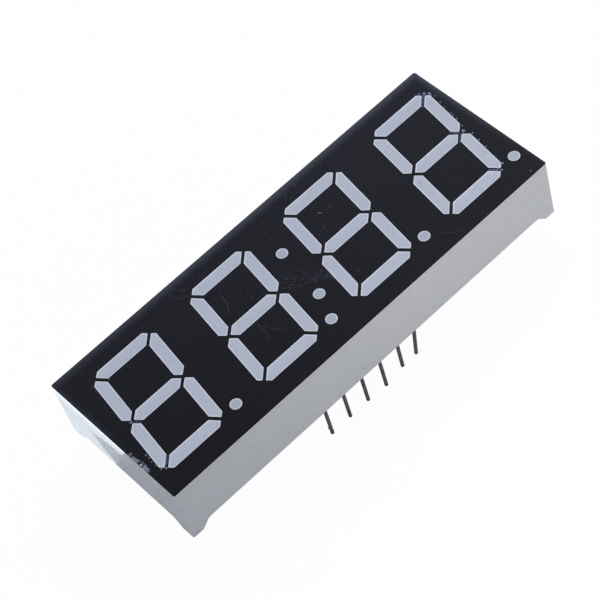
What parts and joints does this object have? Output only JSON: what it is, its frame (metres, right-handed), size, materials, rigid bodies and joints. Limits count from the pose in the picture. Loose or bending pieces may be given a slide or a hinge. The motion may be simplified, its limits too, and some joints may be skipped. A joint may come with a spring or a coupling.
{
  "type": "seven segment display module",
  "caption": "Block-shaped LED clock display with slanted digits, decimal points and a colon in a black face, standing on wire pins.",
  "frame": {"origin": "centre of the pin pattern, on the plane that the four corner feet stand on", "axes": "+X along the row of digits in reading order, +Y to the top of the digits, +Z out of the printed face"},
  "size_m": [0.0502, 0.019, 0.0144],
  "materials": {
    "housing_plastic": "fine matt moulded plastic, pale grey-white",
    "black_print": "satin black print",
    "diffuser_epoxy": "milky cast epoxy, smooth and flush with the face",
    "board_laminate": "glass laminate",
    "copper": "bare copper",
    "solder": "bright solder",
    "led_crystal": "cut crystal",
    "gold_wire": "drawn gold wire",
    "tinned_wire": "dull tinned wire",
    "back_epoxy": "cast epoxy, set with a smooth skin"
  },
  "bodies": {
    "root": {"housing": "housing_plastic", "face_print": "black_print", "digit_1_segment_a": "diffuser_epoxy", "digit_1_segment_b": "diffuser_epoxy", "digit_1_segment_c": "diffuser_epoxy", "digit_1_segment_d": "diffuser_epoxy", "digit_1_segment_e": "diffuser_epoxy", "digit_1_segment_f": "diffuser_epoxy", "digit_1_segment_g": "diffuser_epoxy", "digit_2_segment_a": "diffuser_epoxy", "digit_2_segment_b": "diffuser_epoxy", "digit_2_segment_c": "diffuser_epoxy", "digit_2_segment_d": "diffuser_epoxy", "digit_2_segment_e": "diffuser_epoxy", "digit_2_segment_f": "diffuser_epoxy", "digit_2_segment_g": "diffuser_epoxy", "digit_3_segment_a": "diffuser_epoxy", "digit_3_segment_b": "diffuser_epoxy", "digit_3_segment_c": "diffuser_epoxy", "digit_3_segment_d": "diffuser_epoxy", "digit_3_segment_e": "diffuser_epoxy", "digit_3_segment_f": "diffuser_epoxy", "digit_3_segment_g": "diffuser_epoxy", "digit_4_segment_a": "diffuser_epoxy", "digit_4_segment_b": "diffuser_epoxy", "digit_4_segment_c": "diffuser_epoxy", "digit_4_segment_d": "diffuser_epoxy", "digit_4_segment_e": "diffuser_epoxy", "digit_4_segment_f": "diffuser_epoxy", "digit_4_segment_g": "diffuser_epoxy", "decimal_point_1": "diffuser_epoxy", "decimal_point_2": "diffuser_epoxy", "decimal_point_3": "diffuser_epoxy", "decimal_point_4": "diffuser_epoxy", "colon_dot_upper": "diffuser_epoxy", "colon_dot_lower": "diffuser_epoxy", "circuit_board": "board_laminate", "chip_pads": "copper", "pin_pads": "copper", "solder_joints": "solder", "led_chips": "led_crystal", "bond_wires": "gold_wire", "pin_1": "tinned_wire", "pin_2": "tinned_wire", "pin_3": "tinned_wire", "pin_4": "tinned_wire", "pin_5": "tinned_wire", "pin_6": "tinned_wire", "pin_7": "tinned_wire", "pin_8": "tinned_wire", "pin_9": "tinned_wire", "pin_10": "tinned_wire", "pin_11": "tinned_wire", "pin_12": "tinned_wire", "back_epoxy": "back_epoxy"}
  },
  "joints": []
}
